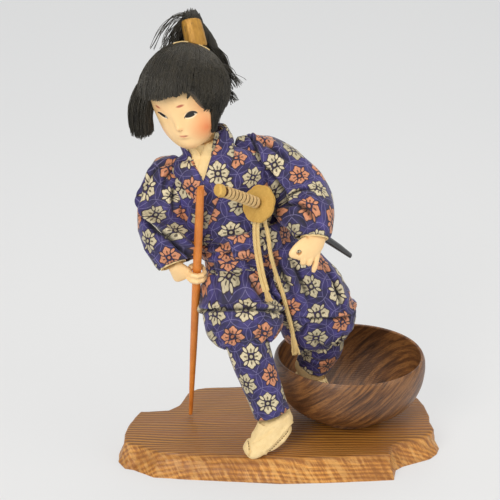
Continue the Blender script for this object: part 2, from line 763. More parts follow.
def foot_path(side):
    """From the ankle down and forward over the heel to the tip of the toes."""
    turn = math.radians({"right": RIGHT_FOOT_TURN, "left": LEFT_FOOT_TURN}[side])
    pitch = math.radians({"right": RIGHT_FOOT_PITCH, "left": LEFT_FOOT_PITCH}[side])
    ahead = Vector((math.cos(turn) * math.cos(pitch), -math.sin(turn) * math.cos(pitch), -math.sin(pitch)))
    sole = Vector((math.cos(turn) * math.sin(pitch), -math.sin(turn) * math.sin(pitch), math.cos(pitch))) * -1
    ankle = LEG_PATHS[side][3]
    points = [ankle + ahead * FOOT_LENGTH * reach + sole * FOOT_HEIGHT * drop
              for reach, drop in zip(FOOT_REACH_SHARES, FOOT_DROP_SHARES[side])]
    return [ankle] + points, ahead, sole


FOOT_RING_SHARES = (
    (0.00, 1.10, 0.94), (0.22, 1.06, 1.10), (0.40, 1.02, 1.14), (0.58, 1.06, 0.88), (0.78, 1.08, 0.62),
    (0.92, 0.94, 0.46), (1.00, 0.66, 0.32),
)


FOOT_SIDES = 8
FEET = {}
for side in ("right", "left"):
    foot_points, foot_ahead, foot_sole = foot_path(side)
    FEET[side] = Form(foot_points, FOOT_RING_SHARES, FOOT_WIDTH, FOOT_HEIGHT,
                      foot_ahead.cross(foot_sole), FOOT_SIDES)


def pole_ends():
    """The tip on the board and the top, on a line through the right hand."""
    tip = Vector((POLE_TIP_PLACE[0], POLE_TIP_PLACE[1], BOARD_THICKNESS + FIT_GAP))
    rise = (place("pole_hand") - tip).normalized()
    return tip, tip + rise * POLE_LENGTH, rise


# Shares of the pole's length and of its thickest diameter
POLE_PROFILE_SHARES = (
    (0.012, 0.45), (0.12, 0.60), (0.32, 0.84), (0.62, 1.0), (0.90, 0.92), (0.99, 0.82), (1.0, 0.70))
POLE_SIDES = 16


def pole_form(name, grow=0.0):
    """A turned rod along the pole's line."""
    tip, top, rise = pole_ends()
    work = bmesh.new()
    rings = []
    turn = rise.to_track_quat("Z", "Y").to_matrix()
    for share, wide in POLE_PROFILE_SHARES:
        radius = POLE_THICK_DIAMETER * wide / 2 + grow
        middle = tip.lerp(top, share)
        angles = [2 * math.pi * step / POLE_SIDES for step in range(POLE_SIDES)]
        rings.append([work.verts.new(middle + turn @ (Vector((math.cos(angle), math.sin(angle), 0.0)) * radius))
                      for angle in angles])
    for lower, upper in zip(rings, rings[1:]):
        for step in range(POLE_SIDES):
            after = (step + 1) % POLE_SIDES
            work.faces.new((lower[step], lower[after], upper[after], upper[step]))
    work.faces.new(list(reversed(rings[0])))
    work.faces.new(rings[-1])
    mesh = bpy.data.meshes.new(name)
    work.to_mesh(mesh)
    work.free()
    return mesh


HEAD_TURN = Matrix.Rotation(math.radians(-HEAD_TURN_DEGREES), 4, "Z")
HEAD_NOD = Matrix.Rotation(math.radians(HEAD_NOD_DEGREES), 4, "X")
HEAD_LEAN = Matrix.Rotation(math.radians(HEAD_LEAN_DEGREES), 4, "Y")
HEAD_FRAME = Matrix.Translation(place("head")) @ HEAD_TURN @ HEAD_NOD @ HEAD_LEAN
HEAD_SIDE = HEAD_FRAME.to_3x3() @ LEFT
HEAD_UP = HEAD_FRAME.to_3x3() @ UP
NECK_AXIS = (place("head") - place("neck")).normalized()

# Head rings up the face: height share, forward shift share, width share, depth share
HEAD_RING_SHARES = (
    (-0.52, -0.33, 0.28, 0.28), (-0.455, -0.26, 0.63, 0.56), (-0.34, -0.17, 0.90, 0.80), (-0.18, -0.10, 1.03, 0.95),
    (0.02, -0.05, 1.05, 1.00), (0.20, -0.04, 0.98, 1.00), (0.36, -0.03, 0.80, 0.84), (0.46, -0.03, 0.50, 0.52),
)


def head_place(side_share, back_share, up_share):
    """A place in the head's own frame, in shares of its width, depth and height."""
    return HEAD_FRAME @ Vector((side_share * HEAD_WIDTH, back_share * HEAD_DEPTH, up_share * HEAD_HEIGHT))


class StackedForm(Form):
    """Rings stacked up the axis of a frame, each with its own shift backwards."""

    def __init__(self, frame, rings, width, depth, height, count=12):
        self.count = count
        self.folds = 0
        self.levels = 1
        self.rings = []
        side, back, up = (frame.to_3x3().col[index] for index in range(3))
        for up_share, back_share, width_share, depth_share in rings:
            middle = frame @ Vector((0.0, back_share * depth, up_share * height))
            self.rings.append((middle, up.copy(), side.copy(), back.copy(), width * width_share / 2,
                               depth * depth_share / 2, 0.0))


HEAD = StackedForm(HEAD_FRAME, HEAD_RING_SHARES, HEAD_WIDTH, HEAD_DEPTH, HEAD_HEIGHT)
HAIR_RING_SHARES = (
    (-0.36, 0.20, 0.62, 0.50), (-0.20, 0.12, 0.88, 0.78), (-0.04, 0.05, 1.05, 1.00), (0.10, 0.01, 1.05, 1.06),
    (0.24, 0.01, 0.96, 0.99), (0.37, 0.02, 0.76, 0.80), (0.48, 0.02, 0.48, 0.52), (0.55, 0.02, 0.22, 0.24),
)
HAIR_FRAME = (Matrix.Translation(place("head") + Vector(HAIR_SHIFT))
              @ Matrix.Rotation(math.radians(-HAIR_TURN_DEGREES), 4, "Z")
              @ Matrix.Rotation(math.radians(HAIR_NOD_DEGREES), 4, "X")
              @ Matrix.Rotation(math.radians(HAIR_LEAN_DEGREES), 4, "Y"))
HAIR = StackedForm(HAIR_FRAME, HAIR_RING_SHARES, HAIR_WIDTH, HAIR_DEPTH, HAIR_HEIGHT)


NECK_SIDES = 20


def neck_cutter(name, grow):
    """The round neck, moved out by a clearance."""
    foot = place("neck") - NECK_AXIS * (NECK_BELOW + grow)
    return rod_mesh(name, foot, foot + NECK_AXIS * (NECK_LENGTH + grow), NECK_DIAMETER + 2 * grow,
                    NECK_DIAMETER + 2 * grow, NECK_SIDES)


def build_cutters():
    """The hidden solids that give neighbours their clearance."""
    tools = {}
    tools["kimono"] = KIMONO.cutter("kimono")
    tools["trunk"] = TRUNK.cutter("trunk")
    tools["core"] = TRUNK.cutter("core", -CORE_INSET + FIT_GAP)
    tools["sash"] = SASH.cutter("sash", SASH_THICKNESS + 2 * FIT_GAP)
    for side in ("right", "left"):
        tools[side + "_trouser"] = TROUSERS[side].cutter(side + "_trouser")
        tools[side + "_leg"] = LEGS[side].cutter(side + "_leg", -EMPTY_LAYER + FIT_GAP)
        tools[side + "_legging"] = LEGGINGS[side].cutter(side + "_legging")
        tools[side + "_legging_wall"] = wall_cutter(LEGGINGS[side], side + "_legging_wall", CLOTH_THICKNESS)
        tools[side + "_sleeve"] = SLEEVES[side].cutter(side + "_sleeve")
        tools[side + "_foot"] = FEET[side].cutter(side + "_foot")
        tools[side + "_arm"] = ARMS[side].cutter(side + "_arm", -EMPTY_LAYER + FIT_GAP, FIT_GAP)
    tools["head"] = HEAD.cutter("head")
    tools["neck"] = add_cutter(neck_cutter("neck", FIT_GAP))
    tools["hair"] = HAIR.cutter("hair")
    tools["pole"] = add_cutter(pole_form("pole", FIT_GAP))
    for name, points in WIRES.items():
        tools[name] = add_cutter(tube_mesh(name, smooth_path(points, WIRE_POINTS), WIRE_DIAMETER + 2 * FIT_GAP))
    return tools


# How far along its neighbours each bend of the wires lies
LEG_WIRE_TOP_SHARES = (0.35, 0.14)
LEG_WIRE_HIP_SHARE = 0.3
LEG_WIRE_HEEL_SHARE = 0.5
ARM_WIRE_END_SHARES = (0.25, 0.3)
ARM_WIRE_MIDDLE_SHARES = (0.45, 1.6)


def leg_wire_points(side):
    """From inside the trunk down the leg, through the foot and into the board."""
    hip, thigh, knee, ankle = LEG_PATHS[side]
    foot_points = foot_path(side)[0]
    ground = foot_points[3]
    inward, upward = LEG_WIRE_TOP_SHARES
    top = place("pelvis").lerp(hip, inward) + UP * TRUNK_HEIGHT * upward
    heel = foot_points[1].lerp(foot_points[2], LEG_WIRE_HEEL_SHARE)
    return [top, hip.lerp(thigh, LEG_WIRE_HIP_SHARE), thigh, knee, ankle, heel,
            Vector((ground.x, ground.y, BOARD_THICKNESS - WIRE_BITE))]


def arm_wire_points():
    """From one hand up the arm, behind the neck pin and down the other arm."""
    grip, beyond = ARM_WIRE_END_SHARES
    rise, back = ARM_WIRE_MIDDLE_SHARES
    right, left = ARM_PATHS["right"], ARM_PATHS["left"]
    middle = place("chest").lerp(place("neck"), rise) - FRONT * NECK_PIN_DIAMETER * back
    return ([right[4].lerp(place("pole_hand"), grip)] + right[::-1] + [middle] + left
            + [left[4].lerp(left[3], -beyond)])


WIRES = {"right_leg_wire": leg_wire_points("right"), "left_leg_wire": leg_wire_points("left"),
         "arm_wire": arm_wire_points()}


def fit(piece, tools, names, operation="DIFFERENCE", solver="EXACT"):
    """Cut a piece clear of its neighbours, then make it plain."""
    for name in names:
        combine(piece, tools[name], operation, solver)
    return settle(piece, True)


def make_body(tools):
    """The wadded core and limbs, and the wires that hold the pose."""
    core = TRUNK.solid("trunk_core", material("trunk wadding", WADDING, 0.95), -CORE_INSET)
    fit(core, tools, ["neck", "right_leg_wire", "left_leg_wire", "arm_wire", "neck_pin"])
    for side in ("right", "left"):
        arm = ARMS[side].solid(side + "_arm", material(side + " arm wadding", WADDING, 0.95), -EMPTY_LAYER)
        fit(arm, tools, ["kimono", "arm_wire"])
        leg = LEGS[side].solid(side + "_leg", material(side + " leg wadding", WADDING, 0.95), -EMPTY_LAYER)
        fit(leg, tools, ["core", side + "_leg_wire"] + (["right_leg"] if side == "left" else []))
    for name, points in WIRES.items():
        add_piece(name, tube_mesh(name, smooth_path(points, WIRE_POINTS), WIRE_DIAMETER),
                  material(name + " steel", STEEL_GREY, 0.4, 1.0))


def make_clothes(tools):
    """Robe, sleeves, trousers, leggings and split-toed socks."""
    kimono = KIMONO.shell("kimono_body", material("kimono brocade", BROCADE, 0.7), CLOTH_THICKNESS)
    fit(kimono, tools, ["neck_opening", "arm_wire"])
    robe = UNDER_ROBE.shell("under_robe", material("under robe silk", CREAM, 0.7), UNDER_ROBE_WALL,
                            -EMPTY_LAYER - UNDER_ROBE_EASE)
    fit(robe, tools, ["neck", "arm_wire", "head"])
    for side in ("right", "left"):
        sleeve = SLEEVES[side].shell(side + "_sleeve", material(side + " sleeve brocade", BROCADE, 0.7),
                                     CLOTH_THICKNESS)
        fit(sleeve, tools, ["kimono", "arm_wire"])
        trouser = TROUSERS[side].shell(side + "_trouser_leg", material(side + " trouser brocade", BROCADE, 0.7),
                                       CLOTH_THICKNESS)
        fit(trouser, tools, ["core", "kimono", "sash", side + "_leg", side + "_legging"]
            + (["right_trouser"] if side == "left" else []), solver="MANIFOLD")
        legging = LEGGINGS[side].shell(side + "_legging", material(side + " legging brocade", BROCADE, 0.7),
                                       CLOTH_THICKNESS)
        settle(legging)
        sock = FEET[side].solid(side + "_sock", material(side + " sock cotton", CREAM, 0.85))
        fit(sock, tools, [side + "_leg", side + "_legging_wall", side + "_leg_wire"])
        if side == "left":
            fit(sock, tools, ["bowl_room"], "INTERSECT")
        else:
            fit(sock, tools, ["board"])
    sash = SASH.shell("sash", material("sash brocade", BROCADE, 0.7), SASH_THICKNESS, SASH_THICKNESS + FIT_GAP)
    fit(sash, tools, ["trunk", "scabbard"])


def make_head(tools):
    """The painted head on its round neck and pin."""
    head = HEAD.solid("head", material("painted face", SKIN, 0.35))
    neck = add_cutter(neck_cutter("neck_stub", 0.0))
    combine(head, neck, "UNION")
    combine(head, tools["neck_pin"], "DIFFERENCE")
    settle(head)
    start, end = neck_pin_ends()
    add_piece("neck_pin", rod_mesh("neck_pin", start, end, NECK_PIN_DIAMETER, NECK_PIN_DIAMETER, PIN_SIDES),
              material("neck pin wood", WOOD_POLE, 0.6))


PIN_SIDES = 12
PIN_BELOW_SHARE = 0.6


def neck_pin_ends():
    """The wooden pin runs from inside the neck down into the trunk."""
    foot = place("neck") - NECK_AXIS * (NECK_BELOW + NECK_PIN_LENGTH * PIN_BELOW_SHARE)
    return foot, foot + NECK_AXIS * NECK_PIN_LENGTH


# Fringe and side hair, in shares of the head's width, depth and height
FRINGE_LOW_SHARE = 0.37
FRINGE_BACK_SHARE = -0.16
FACE_WINDOW_BACK_SHARE = 0.02
FACE_WINDOW_SIDE_SHARE = 0.50
LOCK_WIDTH = 0.022
LOCK_DEPTH = 0.024
LOCK_SHARES = {
    "right": ((-0.38, 0.08, 0.24), (-0.53, 0.02, 0.06), (-0.60, -0.02, -0.16), (-0.58, -0.02, -0.46)),
    "left": ((0.20, -0.14, 0.30), (0.27, -0.22, 0.12), (0.29, -0.26, -0.04), (0.32, -0.28, -0.20)),
}
LOCK_RING_SHARES = ((0.0, 0.50, 0.60), (0.25, 0.92, 0.95), (0.55, 1.0, 1.0), (0.82, 0.90, 0.85), (1.0, 0.55, 0.50))
TOPKNOT_SHARES = ((0.10, 0.20, 0.47), (0.090, 0.227, 0.603), (0.035, 0.281, 0.820), (0.037, 0.375, 0.872),
                  (0.047, 0.470, 0.734), (0.062, 0.500, 0.500), (0.133, 0.530, 0.190), (0.258, 0.530, -0.140))
TOPKNOT_RING_SHARES = ((0.0, 0.62, 0.66), (0.143, 0.68, 0.66), (0.286, 0.60, 0.60), (0.43, 0.76, 0.52),
                       (0.571, 1.45, 0.58), (0.714, 2.35, 0.66), (0.857, 2.20, 0.66), (1.0, 0.95, 0.40))
TOPKNOT_SIDES = 8
TIE_SIDES = 12
TIE_RING_SHARES = ((0.10, 0.74, 0.72), (0.20, 0.71, 0.70), (0.30, 0.66, 0.65))


def make_hair(tools):
    """Back hair, fringe, two side locks, the topknot and its paper tie."""
    window_low = (-FACE_WINDOW_SIDE_SHARE * HEAD_WIDTH, -HAIR_DEPTH, -HEAD_HEIGHT)
    window_high = (FACE_WINDOW_SIDE_SHARE * HEAD_WIDTH, FACE_WINDOW_BACK_SHARE * HEAD_DEPTH,
                   FRINGE_LOW_SHARE * HEAD_HEIGHT)
    window = add_cutter(box_mesh("face_window", window_low, window_high, HEAD_FRAME))
    front_low = (-HAIR_WIDTH, -HAIR_DEPTH, FRINGE_LOW_SHARE * HEAD_HEIGHT)
    front_high = (HAIR_WIDTH, FRINGE_BACK_SHARE * HEAD_DEPTH, HAIR_HEIGHT)
    front = add_cutter(box_mesh("fringe_part", front_low, front_high, HEAD_FRAME))
    behind = add_cutter(box_mesh("behind_fringe", Vector(front_low) - Vector((FIT_GAP,) * 3),
                                 Vector(front_high) + Vector((FIT_GAP,) * 3), HEAD_FRAME))
    hair = HAIR.solid("back_hair", material("back hair", HAIR_BLACK, 0.5))
    for tool in (tools["head"], tools["neck"], window, behind):
        combine(hair, tool, "DIFFERENCE")
    settle(hair)
    fringe = HAIR.solid("fringe", material("fringe hair", HAIR_BLACK, 0.5))
    combine(fringe, front, "INTERSECT")
    combine(fringe, tools["head"], "DIFFERENCE")
    settle(fringe)
    for side, shares in LOCK_SHARES.items():
        path = [place("head") + Vector(share) * HAIR_WIDTH for share in shares]
        form = Form(path, LOCK_RING_SHARES, LOCK_WIDTH, LOCK_DEPTH, LEFT)
        lock = form.solid(side + "_side_lock", material(side + " lock hair", HAIR_BLACK, 0.5))
        fit(lock, tools, ["head", "hair"])
    path = [place("head") + Vector(share) * HAIR_WIDTH for share in TOPKNOT_SHARES]
    topknot_form = Form(path, TOPKNOT_RING_SHARES, TOPKNOT_WIDTH, TOPKNOT_WIDTH, LEFT, TOPKNOT_SIDES)
    topknot = topknot_form.solid("topknot", material("topknot hair", HAIR_BLACK, 0.5))
    fit(topknot, tools, ["hair"])
    tie_form = Form(path, TIE_RING_SHARES, TOPKNOT_WIDTH, TOPKNOT_WIDTH, LEFT, TIE_SIDES, levels=0)
    tie = tie_form.shell("hair_tie", material("gold paper", GOLD_PAPER, 0.35, 0.6), TIE_THICKNESS,
                         TIE_THICKNESS + FIT_GAP)
    tools["topknot"] = topknot_form.cutter("topknot")
    fit(tie, tools, ["topknot", "hair"])


# The corners of the robe's opening, as shares of the standing height: sideways and up
NECK_OPENING_SHARES = ((-0.1695, 0.645), (-0.149, 0.765), (-0.232, 0.765))


def neck_opening_cutter():
    """A wedge that opens the robe's front in a V."""
    middle = place("neck")
    work = bmesh.new()
    corners = [work.verts.new(Vector((across, 0.0, up)) * STANDING_HEIGHT + Vector((0.0, middle.y, BOARD_THICKNESS)))
               for across, up in NECK_OPENING_SHARES]
    face = work.faces.new(corners)
    made = bmesh.ops.extrude_face_region(work, geom=[face])
    bmesh.ops.translate(work, vec=FRONT * TRUNK_DEPTH,
                        verts=[item for item in made["geom"] if isinstance(item, bmesh.types.BMVert)])
    bmesh.ops.recalc_face_normals(work, faces=work.faces)
    mesh = bpy.data.meshes.new("neck_opening")
    work.to_mesh(mesh)
    work.free()
    return add_cutter(mesh)


COLLAR_PLACES = {
    "right": ((0.640, 256.0), (0.700, 242.0), (0.780, 222.0), (0.870, 198.0), (0.940, 172.0), (0.955, 140.0),
              (0.955, 98.0)),
    "left": ((0.955, 102.0), (0.955, 60.0), (0.955, 22.0), (0.950, -18.0), (0.930, -46.0), (0.870, -66.0),
             (0.755, -80.0), (0.660, -92.0), (0.585, -104.0), (0.525, -118.0), (0.470, -136.0)),
}
COLLAR_LIFT_SHARE = 0.25
LEFT_COLLAR_STEPS = 16
RIGHT_COLLAR_STEPS = 11
BAND_SIDES = 8
FLAP_STEPS = 7
# The tucked end of the sash: height share and turn round the sash
FLAP_LIFT_SHARE = 0.30
SASH_FLAP_PLACES = ((0.50, -104.0), (0.52, -92.0), (0.54, -78.0), (0.56, -60.0), (0.58, -44.0))


class BandForm(Form):
    """A flat band that lies on another form's surface."""

    def __init__(self, base, places, width, thickness, lift, steps):
        self.count = BAND_SIDES
        self.folds = 0
        self.levels = 0
        self.rings = []
        spots = smooth_path([Vector((share, turn, 0.0)) for share, turn in places], steps)
        points = [base.surface(share, turn, lift) for share, turn, rest in spots]
        for index, (share, turn, rest) in enumerate(spots):
            outward = base.surface(share, turn, lift + CUT_OVERRUN) - points[index]
            along = (points[min(index + 1, steps - 1)] - points[max(index - 1, 0)]).normalized()
            normal = (outward - along * outward.dot(along)).normalized()
            side = normal.cross(along)
            self.rings.append((points[index], along, side, normal, width / 2, thickness / 2, 0.0))


def make_collars(tools):
    """The robe's collar band, its left half lapped over its right half."""
    left_form = BandForm(ROBE_BODY, COLLAR_PLACES["left"], COLLAR_WIDTH, COLLAR_THICKNESS,
                         COLLAR_THICKNESS * COLLAR_LIFT_SHARE, LEFT_COLLAR_STEPS)
    right_form = BandForm(ROBE_BODY, COLLAR_PLACES["right"], COLLAR_WIDTH, COLLAR_THICKNESS,
                          COLLAR_THICKNESS * COLLAR_LIFT_SHARE, RIGHT_COLLAR_STEPS)
    left = left_form.solid("left_collar", material("left collar brocade", BROCADE, 0.7))
    fit(left, tools, ["kimono", "neck", "sash", "under_robe"])
    tools["left_collar"] = left_form.cutter("left_collar")
    right = right_form.solid("right_collar", material("right collar brocade", BROCADE, 0.7))
    fit(right, tools, ["kimono", "neck", "under_robe", "left_collar"])


def make_sash_flap(tools):
    """The sash's end, lapped over its front."""
    form = BandForm(SASH, SASH_FLAP_PLACES, SASH_FLAP_HEIGHT, SASH_FLAP_THICKNESS,
                    SASH_THICKNESS + SASH_FLAP_THICKNESS * FLAP_LIFT_SHARE, FLAP_STEPS)
    flap = form.solid("sash_flap", material("sash flap brocade", BROCADE, 0.7))
    fit(flap, tools, ["sash", "kimono", "left_collar", "right_trouser", "left_trouser"])


CUFF_STEP_SHARES = (-1.0, 1.0)


def cuff_form(side):
    """The lining's outside, just within the sleeve's end."""
    ring = SLEEVES[side].rings[-1]
    form = Form.__new__(Form)
    form.count = SLEEVES[side].count
    form.folds = 0
    form.levels = 0
    form.rings = [(ring[0] + ring[1] * CUFF_WIDTH * step, ring[1], ring[2], ring[3], ring[4] - EMPTY_LAYER,
                   ring[5] - EMPTY_LAYER, 0.0) for step in CUFF_STEP_SHARES]
    return form


def make_cuffs(tools):
    """The tan lining that shows at each sleeve's end."""
    for side in ("right", "left"):
        form = cuff_form(side)
        cuff = form.shell(side + "_cuff_lining", material(side + " cuff cotton", CREAM, 0.8), CUFF_THICKNESS)
        settle(cuff)
        tools[side + "_cuff_wall"] = wall_cutter(form, side + "_cuff_wall", CUFF_THICKNESS)
        tools[side + "_sleeve_wall"] = wall_cutter(SLEEVES[side], side + "_sleeve_wall", CLOTH_THICKNESS)


def wall_cutter(form, name, wall):
    """A garment's wall alone, thicker by a clearance on every side."""
    mesh = form.mesh(name, FIT_GAP, FIT_GAP, capped=False)
    cutter = add_cutter(mesh)
    cloth = cutter.modifiers.new("wall", "SOLIDIFY")
    cloth.thickness = wall + 2 * FIT_GAP
    cloth.offset = -1.0
    cloth.use_even_offset = True
    soften(cutter, form.levels)
    return cutter


def join_solids(name, meshes, finish):
    """Join overlapping solids into one body."""
    piece = add_piece(name, meshes[0], finish)
    for mesh in meshes[1:]:
        combine(piece, add_cutter(mesh), "UNION")
    return settle(piece)


def blob_mesh(name, points, rings, width, depth, across, count=10):
    """A settled soft form as a plain mesh, to be joined to others."""
    holder = add_cutter(Form(points, rings, width, depth, across, count).mesh(name), 1)
    settle(holder)
    mesh = holder.data
    bpy.data.objects.remove(holder, do_unlink=True)
    return mesh


FINGER_STEPS = 6
FINGER_SWELL_SHARES = (1.0, 1.0, 0.97, 0.93, 0.86, 0.55)
FIST_DROP = 0.010
FINGER_PITCH = 0.0050
FINGER_LEVEL_SHARES = (1.35, 0.35, -0.65, -1.65)
FINGER_SIZE_SHARES = (0.92, 1.0, 0.96, 0.84)
FINGER_START_DEGREES = 165.0
FINGER_CURL_DEGREES = (200.0, 204.0, 208.0, 212.0)
THUMB_START_DEGREES = -150.0
THUMB_CURL_DEGREES = 130.0
THUMB_LEVEL_SHARE = 1.5
THUMB_SIZE_SHARE = 1.08
GRIP_GAP_SHARE = 0.5
KNUCKLE_OUT_SHARE = 0.25
# The palm's path: how far its first point lies up the arm and its second one toward the knuckles
PALM_PATH_SHARES = (0.10, 0.55)
RIGHT_PALM_RING_SHARES = (
    (0.0, 0.62, 1.05), (0.3, 0.76, 1.05), (0.62, 1.04, 1.02), (0.86, 1.10, 0.86), (1.0, 0.90, 0.60))
PALM_SIDES = 8


def make_right_hand(tools):
    """A closed fist: four fingers pass in front of the pole and the thumb behind it."""
    tip, top, rise = pole_ends()
    grip = place("pole_hand") - rise * FIST_DROP
    wrist = ARM_PATHS["right"][4]
    outward = (wrist - grip)
    outward = (outward - rise * outward.dot(rise)).normalized()
    ahead = rise.cross(outward)
    if ahead.y > 0:
        ahead = -ahead
    curl = POLE_THICK_DIAMETER / 2 + FINGER_DIAMETER / 2 + FIT_GAP * GRIP_GAP_SHARE
    knuckle = grip + outward * (curl + PALM_THICKNESS * KNUCKLE_OUT_SHARE)
    back, forth = PALM_PATH_SHARES
    palm_path = [wrist + (wrist - knuckle) * back, wrist.lerp(knuckle, forth) - ahead * FIT_GAP,
                 knuckle - rise * FIT_GAP]
    palm = blob_mesh("palm", palm_path, RIGHT_PALM_RING_SHARES, PALM_WIDTH, PALM_THICKNESS, rise, PALM_SIDES)

    def around(level, degrees):
        """A point at the grip's radius round the pole."""
        turn = math.radians(degrees)
        return level + (outward * -math.cos(turn) + ahead * math.sin(turn)) * curl

    solids = [palm]
    fingers = zip(FINGER_LEVEL_SHARES, FINGER_SIZE_SHARES, FINGER_CURL_DEGREES)
    for index, (up_share, size_share, bend) in enumerate(fingers):
        level = grip + rise * FINGER_PITCH * up_share
        points = [around(level, FINGER_START_DEGREES - bend * step / (FINGER_STEPS - 1))
                  for step in range(FINGER_STEPS)]
        size = FINGER_DIAMETER * size_share
        solids.append(tube_mesh("finger_%d" % index, points, size, 1, FINGER_SWELL_SHARES))
    level = grip + rise * FINGER_PITCH * THUMB_LEVEL_SHARE
    thumb = [around(level, THUMB_START_DEGREES + THUMB_CURL_DEGREES * step / (FINGER_STEPS - 2))
             for step in range(FINGER_STEPS - 1)]
    solids.append(tube_mesh("thumb", thumb, FINGER_DIAMETER * THUMB_SIZE_SHARE, 1, FINGER_SWELL_SHARES[1:]))
    hand = join_solids("right_hand", solids, material("right hand skin", SKIN, 0.4))
    fit(hand, tools, ["pole", "right_arm", "right_cuff_wall", "right_sleeve_wall", "arm_wire", "right_trouser"])


LEFT_HAND_SHARES = {
    "wrist": (0.0830, -0.1390, 0.5466),
    "palm": (0.0708, -0.1615, 0.5131),
    "ring_middle": (0.0375, -0.1794, 0.5056),
    "pinch": (0.0145, -0.1853, 0.4982),
}
LEFT_PALM_RING_SHARES = ((0.0, 0.90, 0.90), (0.16, 1.0, 1.0), (0.36, 1.22, 1.02), (0.55, 1.12, 0.94),
                         (0.72, 0.80, 0.74), (0.88, 0.46, 0.56), (1.0, 0.20, 0.36))
LEFT_FINGER_SHARES = (
    ((0.0550, -0.1710, 0.4986), (0.0470, -0.1830, 0.4826), (0.0480, -0.1740, 0.4736)),
    ((0.0680, -0.1670, 0.4946), (0.0610, -0.1790, 0.4786), (0.0600, -0.1700, 0.4716)),
    ((0.0800, -0.1610, 0.4966), (0.0750, -0.1690, 0.4726), (0.0703, -0.1720, 0.4526)),
)


def make_left_hand(tools):
    """A curled hand: the thumb and first finger close a ring, the others hang bent."""
    spots = {name: Vector(share) * STANDING_HEIGHT + UP * BOARD_THICKNESS
             for name, share in LEFT_HAND_SHARES.items()}
    flat = (spots["pinch"] - spots["wrist"]).normalized().cross(FRONT).normalized()
    palm = blob_mesh("left_palm", [spots["wrist"], spots["palm"], spots["ring_middle"], spots["pinch"]],
                     LEFT_PALM_RING_SHARES, PALM_WIDTH, PALM_THICKNESS, flat, 8)
    solids = [palm]
    for index, shares in enumerate(LEFT_FINGER_SHARES):
        points = [Vector(share) * STANDING_HEIGHT + UP * BOARD_THICKNESS for share in shares]
        solids.append(tube_mesh("left_finger_%d" % index, smooth_path(points, FINGER_STEPS), FINGER_DIAMETER, 1,
                                FINGER_SWELL_SHARES))
    hand = join_solids("left_hand", solids, material("left hand skin", SKIN, 0.4))
    ring_hole = add_cutter(rod_mesh("ring_hole", spots["ring_middle"] + FRONT * PALM_LENGTH,
                                    spots["ring_middle"] - FRONT * PALM_LENGTH, RING_HOLE_DIAMETER,
                                    RING_HOLE_DIAMETER, 12))
    combine(hand, ring_hole, "DIFFERENCE")
    fit(hand, tools, ["left_arm", "left_cuff_wall", "left_sleeve_wall", "arm_wire", "left_trouser"])




# The sword lies on one arc, so it can be drawn: lengths are measured along it from the guard
SWORD_DIRECTION = Vector(SWORD_DIRECTION_SHARES).normalized()
SWORD_FALL = Vector(SWORD_BEND_SHARES)
SWORD_BEND = (SWORD_FALL - SWORD_DIRECTION * SWORD_FALL.dot(SWORD_DIRECTION)).normalized()
SWORD_AXIS = SWORD_DIRECTION.cross(SWORD_BEND)
SWORD_CENTRE = place("guard") + SWORD_BEND * SWORD_BEND_RADIUS


def on_arc(distance):
    """The place, direction and outward normal at a distance along the sword's arc."""
    turn = distance / SWORD_BEND_RADIUS
    outward = SWORD_DIRECTION * math.sin(turn) - SWORD_BEND * math.cos(turn)
    along = SWORD_DIRECTION * math.cos(turn) + SWORD_BEND * math.sin(turn)
    return SWORD_CENTRE + outward * SWORD_BEND_RADIUS, along, outward


class ArcForm(Form):
    """Rings along the sword's arc: distance, width share and depth share."""

    def __init__(self, rings, width, depth, count):
        self.count = count
        self.folds = 0
        self.levels = 0
        self.rings = []
        for distance, width_share, depth_share in rings:
            middle, along, outward = on_arc(distance)
            self.rings.append((middle, along, outward, along.cross(outward), width * width_share / 2,
                               depth * depth_share / 2, 0.0))


def arc_rings(start, end, steps, shares):
    """Even rings from start to end, their size read from a short table of shares."""
    rings = []
    for step in range(steps + 1):
        part = step / steps
        for (low, low_size), (high, high_size) in zip(shares, shares[1:]):
            if part <= high:
                break
        blend = (part - low) / (high - low)
        size = low_size + (high_size - low_size) * blend
        rings.append((start + (end - start) * part, size, size))
    return rings


# Sizes along the sword's parts: share of the part's length and share of its width and depth
BLADE_SIZE_SHARES = ((0.0, 0.8), (0.3, 1.0), (0.9, 0.9), (1.0, 0.35))
TANG_SHARE = 0.7
COLLAR_SIZE_SHARES = ((0.0, 1.0), (0.5, 0.98), (1.0, 0.92))
HILT_SIZE_SHARES = ((0.0, 0.98), (0.5, 0.94), (1.0, 1.0))
POMMEL_SIZE_SHARES = ((0.0, 0.70), (0.2, 1.06), (1.0, 1.16))
SCABBARD_SIZE_SHARES = ((0.0, 1.0), (0.2, 1.02), (0.85, 0.88), (1.0, 0.62))
BLADE_STEPS = 9
HILT_STEPS = 4
SCABBARD_STEPS = 8
BLADE_SIDES = 6
BLADE_COLLAR_SIDES = 10
HILT_SIDES = 12
POMMEL_SIDES = 14


